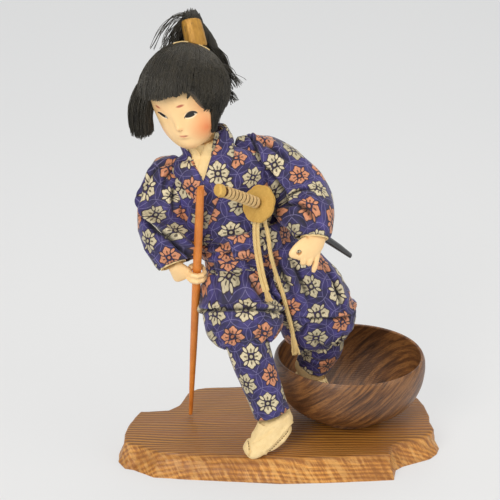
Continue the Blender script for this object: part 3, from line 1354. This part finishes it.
def make_sword(tools):
    """Blade, collar, guard, wrapped hilt and pommel cap, and the scabbard."""
    face = GUARD_THICKNESS / 2 + FIT_GAP
    blade_rings = arc_rings(-HILT_LENGTH * TANG_SHARE, BLADE_LENGTH, BLADE_STEPS, BLADE_SIZE_SHARES)
    blade_form = ArcForm(blade_rings, BLADE_WIDTH, BLADE_THICKNESS, BLADE_SIDES)
    add_piece("sword_blade", blade_form.mesh("sword_blade"), material("blade metal", STEEL_GREY, 0.25, 1.0))
    tools["blade"] = add_cutter(blade_form.mesh("blade", FIT_GAP, FIT_GAP))
    collar_rings = [(face + BLADE_COLLAR_LENGTH * part, size, size) for part, size in COLLAR_SIZE_SHARES]
    collar_form = ArcForm(collar_rings, BLADE_WIDTH + 2 * BLADE_COLLAR_WALL,
                          BLADE_THICKNESS + 2 * BLADE_COLLAR_WALL, BLADE_COLLAR_SIDES)
    collar = add_piece("blade_collar", collar_form.mesh("blade_collar"),
                       material("blade collar brass", BRASS_YELLOW, 0.3, 1.0))
    fit(collar, tools, ["blade"])
    tools["blade_collar"] = add_cutter(collar_form.mesh("blade_collar_room", FIT_GAP, FIT_GAP))
    hilt_rings = arc_rings(-HILT_LENGTH, -face, HILT_STEPS, HILT_SIZE_SHARES)
    hilt = add_piece("hilt", ArcForm(hilt_rings, HILT_WIDTH, HILT_DEPTH, HILT_SIDES).mesh("hilt"),
                     material("hilt silk", CORD_CREAM, 0.8))
    fit(hilt, tools, ["blade"])
    pommel_start = -HILT_LENGTH - POMMEL_LENGTH
    pommel_rings = [(pommel_start + (POMMEL_LENGTH - FIT_GAP) * part, size, size)
                    for part, size in POMMEL_SIZE_SHARES]
    add_piece("pommel_cap", ArcForm(pommel_rings, HILT_WIDTH + 2 * HILT_WRAP_THICKNESS,
                                    HILT_DEPTH + 2 * HILT_WRAP_THICKNESS, POMMEL_SIDES).mesh("pommel_cap"),
              material("pommel brass", BRASS_YELLOW, 0.35, 0.8))
    make_hilt_wrap(face)
    middle, along, outward = on_arc(0.0)
    guard_mesh_data = guard_mesh(middle, along, outward)
    guard = add_piece("guard", guard_mesh_data, material("guard brass", BRASS_YELLOW, 0.45, 0.6))
    fit(guard, tools, ["blade"])
    scabbard_rings = arc_rings(face, SCABBARD_LENGTH, SCABBARD_STEPS, SCABBARD_SIZE_SHARES)
    scabbard_form = ArcForm(scabbard_rings, SCABBARD_WIDTH, SCABBARD_DEPTH, HILT_SIDES)
    scabbard = add_piece("scabbard", scabbard_form.mesh("scabbard"), material("scabbard lacquer", LACQUER, 0.3))
    fit(scabbard, tools, ["blade", "blade_collar"])
    make_cord_knot()


def make_cord_knot():
    """The cord's loop round the mouth of the scabbard."""
    distance = GUARD_THICKNESS / 2 + KNOT_CORD_DIAMETER
    middle, along, outward = on_arc(distance)
    side = along.cross(outward)
    work = bmesh.new()
    loops = []
    reach = KNOT_CORD_DIAMETER / 2 + FIT_GAP
    for step in range(KNOT_STEPS):
        turn = 2 * math.pi * step / KNOT_STEPS
        radial = (outward * math.cos(turn) * (SCABBARD_WIDTH / 2 + reach)
                  + side * math.sin(turn) * (SCABBARD_DEPTH / 2 + reach))
        normal = radial.normalized()
        round_turns = [2 * math.pi * part / KNOT_SIDES for part in range(KNOT_SIDES)]
        loops.append([work.verts.new(middle + radial + (normal * math.cos(angle) + along * math.sin(angle))
                                     * KNOT_CORD_DIAMETER / 2)
                      for angle in round_turns])
    for index, loop in enumerate(loops):
        beyond = loops[(index + 1) % KNOT_STEPS]
        for part in range(KNOT_SIDES):
            after = (part + 1) % KNOT_SIDES
            work.faces.new((loop[part], loop[after], beyond[after], beyond[part]))
    bmesh.ops.recalc_face_normals(work, faces=work.faces)
    mesh = bpy.data.meshes.new("cord_knot")
    work.to_mesh(mesh)
    work.free()
    add_piece("cord_knot", mesh, material("knot cord", CORD_CREAM, 0.8))


# The two strands' routes and their frayed ends, from the knot down, in metres
LEFT_CORD_ROUTE = (
    (-0.0181, -0.0508, 0.2171), (-0.0190, -0.0502, 0.2110), (-0.0195, -0.0495, 0.2060), (-0.0195, -0.0490, 0.2008),
    (-0.0193, -0.0486, 0.1942), (-0.0183, -0.0486, 0.1854), (-0.0168, -0.0492, 0.1759), (-0.0149, -0.0506, 0.1658),
    (-0.0134, -0.0516, 0.1597), (-0.0118, -0.0525, 0.1543),
)
LEFT_TASSEL_ROUTE = ((-0.0117, -0.0526, 0.1539), (-0.0103, -0.0532, 0.1497), (-0.0092, -0.0536, 0.1457))
RIGHT_CORD_ROUTE = (
    (-0.0136, -0.0507, 0.2171), (-0.0130, -0.0488, 0.2110), (-0.0124, -0.0472, 0.2060), (-0.0112, -0.0460, 0.2013),
    (-0.0100, -0.0454, 0.1946), (-0.0089, -0.0452, 0.1849), (-0.0077, -0.0448, 0.1782), (-0.0057, -0.0434, 0.1695),
    (-0.0034, -0.0424, 0.1613), (-0.0010, -0.0410, 0.1537), (0.0014, -0.0392, 0.1454), (0.0030, -0.0372, 0.1379),
    (0.0047, -0.0354, 0.1304), (0.0063, -0.0340, 0.1239), (0.0078, -0.0328, 0.1174), (0.0088, -0.0320, 0.1119),
    (0.0097, -0.0316, 0.1075),
)
RIGHT_TASSEL_ROUTE = ((0.0098, -0.0316, 0.1071), (0.0112, -0.0314, 0.0988), (0.0122, -0.0312, 0.0909))
TASSEL_RING_SHARES = ((0.0, 0.55, 0.50), (0.35, 0.80, 0.65), (0.75, 1.05, 0.80), (1.0, 1.20, 0.85))


def make_cords():
    """The two strands that hang from the knot, each with a frayed end."""
    for side, route, tassel_route, diameter, count in (
            ("left", LEFT_CORD_ROUTE, LEFT_TASSEL_ROUTE, CORD_DIAMETER, 9),
            ("right", RIGHT_CORD_ROUTE, RIGHT_TASSEL_ROUTE, THIN_CORD_DIAMETER, 15)):
        points = smooth_path([Vector(point) for point in route], count)
        add_piece(side + "_cord", tube_mesh(side + "_cord", points, diameter, 2),
                  material(side + " strand cord", CORD_CREAM, 0.8))
        tassel = Form([Vector(point) for point in tassel_route], TASSEL_RING_SHARES, TASSEL_WIDTH, TASSEL_WIDTH,
                      LEFT, 8, levels=0)
        tassel.solid(side + "_tassel", material(side + " tassel cord", CORD_CREAM, 0.85))


def least_gap(form, turn_steps):
    """The least distance between points that lie about one turn or more apart."""
    loops = [form.outline(ring) for ring in form.rings]
    least = HILT_LENGTH
    for index, loop in enumerate(loops):
        for other in loops[index + turn_steps // 2 + 1:index + 2 * turn_steps]:
            least = min(least, min((point - spot).length for point in loop for spot in other))
    return least


def hilt_wrap_ring(part, face, turns):
    """One place on the wrapped tape: a helix round the hilt."""
    length = HILT_LENGTH - face - 2 * FIT_GAP
    pitch = length / (turns + 1)
    distance = -face - FIT_GAP - pitch / 2 - part * turns * pitch
    turn = 2 * math.pi * part * turns
    middle, along, outward = on_arc(distance)
    side = along.cross(outward)
    radial = outward * math.cos(turn) * (HILT_WIDTH / 2) + side * math.sin(turn) * (HILT_DEPTH / 2)
    normal = radial.normalized()
    lift = FIT_GAP + HILT_WRAP_THICKNESS / 2
    return middle + radial + normal * lift, along, normal, pitch


WRAP_SIDES = 6


def make_hilt_wrap(face):
    """One unbroken tape wound round the hilt, pommel to guard."""
    steps = HILT_WRAP_TURNS * HILT_WRAP_STEPS
    form = Form.__new__(Form)
    form.count = WRAP_SIDES
    form.folds = 0
    form.levels = 0
    form.rings = []
    places = [hilt_wrap_ring(step / steps, face, HILT_WRAP_TURNS) for step in range(steps + 1)]
    for index, (point, axis, normal, pitch) in enumerate(places):
        ahead = places[min(index + 1, steps)][0] - places[max(index - 1, 0)][0]
        along = ahead.normalized()
        out = (normal - along * normal.dot(along)).normalized()
        form.rings.append((point, along, out.cross(along), out, (pitch - HILT_WRAP_GAP) / 2,
                           HILT_WRAP_THICKNESS / 2, 0.0))
    print("least gap of the hilt wrap to itself: %.2f mm" % (least_gap(form, HILT_WRAP_STEPS) * 1000))
    add_piece("hilt_wrap", form.mesh("hilt_wrap"), material("hilt wrap cord", CORD_CREAM, 0.8))


def guard_mesh(middle, along, outward):
    """A flat guard with a softly lobed edge."""
    work = bmesh.new()
    side = along.cross(outward)
    points = []
    for step in range(GUARD_POINTS):
        turn = 2 * math.pi * step / GUARD_POINTS
        lobe = 1 - GUARD_LOBE_SHARE * (1 - abs(math.cos(GUARD_LOBES * turn / 2)))
        points.append(middle - along * GUARD_THICKNESS / 2
                      + outward * GUARD_HEIGHT / 2 * lobe * math.cos(turn)
                      + side * GUARD_WIDTH / 2 * lobe * math.sin(turn))
    face = work.faces.new([work.verts.new(point) for point in points])
    made = bmesh.ops.extrude_face_region(work, geom=[face])
    bmesh.ops.translate(work, vec=along * GUARD_THICKNESS,
                        verts=[item for item in made["geom"] if isinstance(item, bmesh.types.BMVert)])
    bmesh.ops.recalc_face_normals(work, faces=work.faces)
    mesh = bpy.data.meshes.new("guard")
    work.to_mesh(mesh)
    work.free()
    return mesh


SCREW_TIP_SHARE = 0.7
SCREW_HEAD_SIDES = 16
SCREW_SIDES = 12


def make_screw(tools):
    """A wood screw up through the board into the bowl's foot."""
    x, y = BOWL_PLACE
    head_low = Vector((x, y, FIT_GAP))
    neck = Vector((x, y, FIT_GAP + SCREW_HEAD_HEIGHT))
    tip = Vector((x, y, BOWL_FLOOR_Z - BOWL_FLOOR + SCREW_BITE))
    shank_top = neck - UP * SCREW_HEAD_HEIGHT / 2
    tip_size = SCREW_DIAMETER * SCREW_TIP_SHARE
    head = rod_mesh("screw", head_low, neck, SCREW_HEAD_DIAMETER, SCREW_DIAMETER, SCREW_HEAD_SIDES)
    shank = rod_mesh("screw_shank", shank_top, tip, SCREW_DIAMETER, tip_size, SCREW_SIDES)
    join_solids("bowl_screw", [head, shank], material("screw steel", STEEL_GREY, 0.4, 1.0))
    head_room = SCREW_HEAD_DIAMETER + 2 * FIT_GAP
    room = SCREW_DIAMETER + 2 * FIT_GAP
    tools["screw_head"] = add_cutter(rod_mesh("screw_head_room", head_low - UP * CUT_OVERRUN, head_low,
                                              head_room, head_room, SCREW_HEAD_SIDES))
    tools["screw_cone"] = add_cutter(rod_mesh("screw_cone_room", head_low - UP * FIT_GAP, neck + UP * FIT_GAP,
                                              head_room, room, SCREW_HEAD_SIDES))
    tools["screw_shank"] = add_cutter(rod_mesh("screw_shank_room", shank_top, tip + UP * FIT_GAP, room,
                                               tip_size + 2 * FIT_GAP, SCREW_SIDES))


HEAD_PIECES = ("head", "neck_pin", "back_hair", "fringe", "right_side_lock", "left_side_lock", "topknot", "hair_tie")
SWORD_PIECES = ("sword_blade", "blade_collar", "hilt", "hilt_wrap", "pommel_cap", "guard")
POLE_PIECES = ("pole",)


def hang_on_axis(name, spot, origin, pieces):
    """Give the pieces that move together a parent on their joint's axis."""
    axis = bpy.data.objects.new(name, None)
    bpy.context.scene.collection.objects.link(axis)
    axis.parent = origin
    axis.location = spot
    for piece in pieces:
        DOLL.objects[piece].parent = axis
        DOLL.objects[piece].location = -spot


def main():
    """Build every piece, then hang all of them on one empty at the footprint's middle."""
    tools = build_cutters()
    start, end = neck_pin_ends()
    tools["neck_pin"] = add_cutter(rod_mesh("neck_pin_room", start - NECK_AXIS * FIT_GAP, end + NECK_AXIS * FIT_GAP,
                                            NECK_PIN_DIAMETER + 2 * FIT_GAP, NECK_PIN_DIAMETER + 2 * FIT_GAP,
                                            PIN_SIDES))
    tools["neck_opening"] = neck_opening_cutter()
    tools["under_robe"] = UNDER_ROBE.cutter("under_robe", -EMPTY_LAYER - UNDER_ROBE_EASE + FIT_GAP)
    scabbard_rings = arc_rings(0.0, SCABBARD_LENGTH, SCABBARD_STEPS, SCABBARD_SIZE_SHARES)
    scabbard_form = ArcForm(scabbard_rings, SCABBARD_WIDTH, SCABBARD_DEPTH, HILT_SIDES)
    tools["scabbard"] = add_cutter(scabbard_form.mesh("scabbard_room", FIT_GAP, FIT_GAP))
    board = make_board()
    bowl = make_bowl()
    tools["board"] = add_cutter(box_mesh("board_room", (-BOARD_LENGTH, -BOARD_DEPTH, 0.0),
                                         (BOARD_LENGTH, BOARD_DEPTH, BOARD_THICKNESS + FIT_GAP)))
    tools["bowl_room"] = bowl_room_cutter()
    make_screw(tools)
    fit(board, tools, ["screw_head", "screw_cone", "screw_shank", "right_leg_wire", "left_leg_wire"])
    fit(bowl, tools, ["screw_shank", "left_leg_wire"])
    make_body(tools)
    make_clothes(tools)
    make_collars(tools)
    make_sash_flap(tools)
    make_cuffs(tools)
    make_head(tools)
    make_hair(tools)
    make_right_hand(tools)
    make_left_hand(tools)
    add_piece("pole", pole_form("pole"), material("pole wood", WOOD_POLE, 0.45))
    make_sword(tools)
    make_cords()
    origin = bpy.data.objects.new("doll_origin", None)
    bpy.context.scene.collection.objects.link(origin)
    for piece in list(DOLL.objects) + list(CUTTERS.objects):
        piece.parent = origin
    hang_on_axis("neck_axis", place("neck"), origin, HEAD_PIECES)
    hang_on_axis("sword_axis", SWORD_CENTRE, origin, SWORD_PIECES)
    hang_on_axis("pole_axis", pole_ends()[0], origin, POLE_PIECES)
    origin.location = FOOTPRINT_SHIFT


main()
